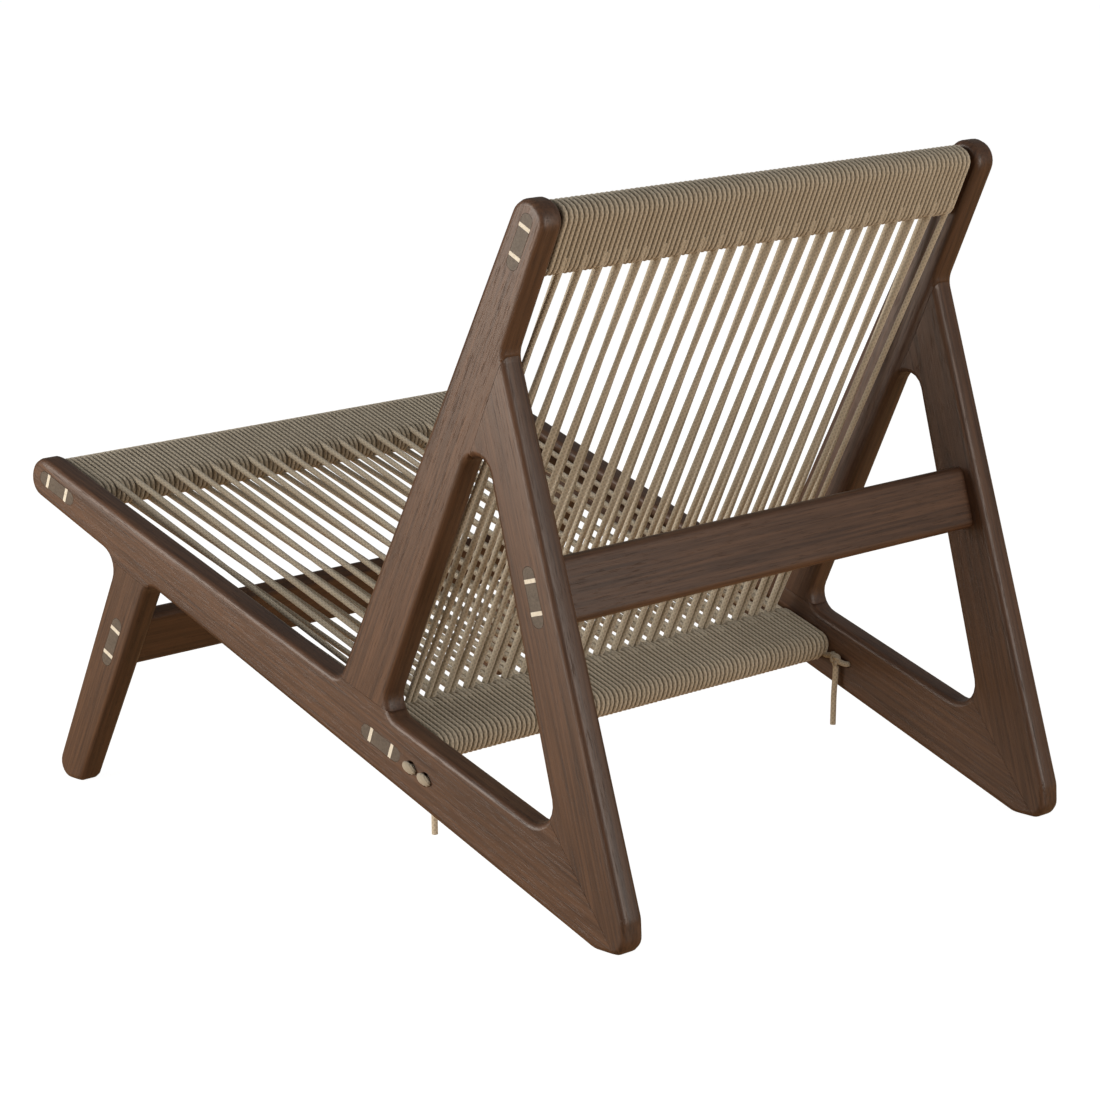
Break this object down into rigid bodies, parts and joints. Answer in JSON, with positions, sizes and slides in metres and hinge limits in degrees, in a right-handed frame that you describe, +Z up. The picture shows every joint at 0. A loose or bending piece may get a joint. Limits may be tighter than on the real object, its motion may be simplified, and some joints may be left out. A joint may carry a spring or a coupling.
{
  "type": "low lounge chair",
  "caption": "Low wooden lounge chair without arms: two flat splayed side frames, wedged cross boards, and a seat and reclined back of stretched cord.",
  "frame": {"origin": "on the floor under the centre of the bounding box", "axes": "+Z up, -Y towards the front, +X towards the sitter's left"},
  "size_m": [0.6364, 0.8576, 0.6746],
  "materials": {
    "side_wood": "satin oiled walnut",
    "cross_wood": "satin oiled walnut",
    "wedge_wood": "satin pale maple",
    "inner_tenon": "matte",
    "cord": "matte braided cotton"
  },
  "bodies": {
    "root": {"back_cord": "cord", "front_seat_bar": "cross_wood", "front_seat_bar_left_wedge_1": "wedge_wood", "front_seat_bar_left_wedge_2": "wedge_wood", "front_seat_bar_right_wedge_1": "wedge_wood", "front_seat_bar_right_wedge_2": "wedge_wood", "front_stretcher": "cross_wood", "front_stretcher_left_wedge_1": "wedge_wood", "front_stretcher_left_wedge_2": "wedge_wood", "front_stretcher_right_wedge_1": "wedge_wood", "front_stretcher_right_wedge_2": "wedge_wood", "left_back_post": "side_wood", "left_back_post_loose_tenon": "inner_tenon", "left_cord_knot": "cord", "left_cord_plug_1": "cord", "left_cord_plug_2": "cord", "left_cord_tail": "cord", "left_foot_loose_tenon": "inner_tenon", "left_front_leg": "side_wood", "left_front_leg_loose_tenon": "inner_tenon", "left_rear_leg": "side_wood", "left_rear_leg_loose_tenon": "inner_tenon", "left_seat_rail": "side_wood", "rear_bar_cord": "cord", "rear_seat_bar": "cross_wood", "rear_seat_bar_left_wedge_1": "wedge_wood", "rear_seat_bar_left_wedge_2": "wedge_wood", "rear_seat_bar_right_wedge_1": "wedge_wood", "rear_seat_bar_right_wedge_2": "wedge_wood", "rear_stretcher": "cross_wood", "rear_stretcher_left_wedge_1": "wedge_wood", "rear_stretcher_left_wedge_2": "wedge_wood", "rear_stretcher_right_wedge_1": "wedge_wood", "rear_stretcher_right_wedge_2": "wedge_wood", "right_back_post": "side_wood", "right_back_post_loose_tenon": "inner_tenon", "right_cord_knot": "cord", "right_cord_plug_1": "cord", "right_cord_plug_2": "cord", "right_cord_tail": "cord", "right_foot_loose_tenon": "inner_tenon", "right_front_leg": "side_wood", "right_front_leg_loose_tenon": "inner_tenon", "right_rear_leg": "side_wood", "right_rear_leg_loose_tenon": "inner_tenon", "right_seat_rail": "side_wood", "seat_cord": "cord", "top_back_bar": "cross_wood", "top_back_bar_left_wedge_1": "wedge_wood", "top_back_bar_left_wedge_2": "wedge_wood", "top_back_bar_right_wedge_1": "wedge_wood", "top_back_bar_right_wedge_2": "wedge_wood"}
  },
  "joints": []
}
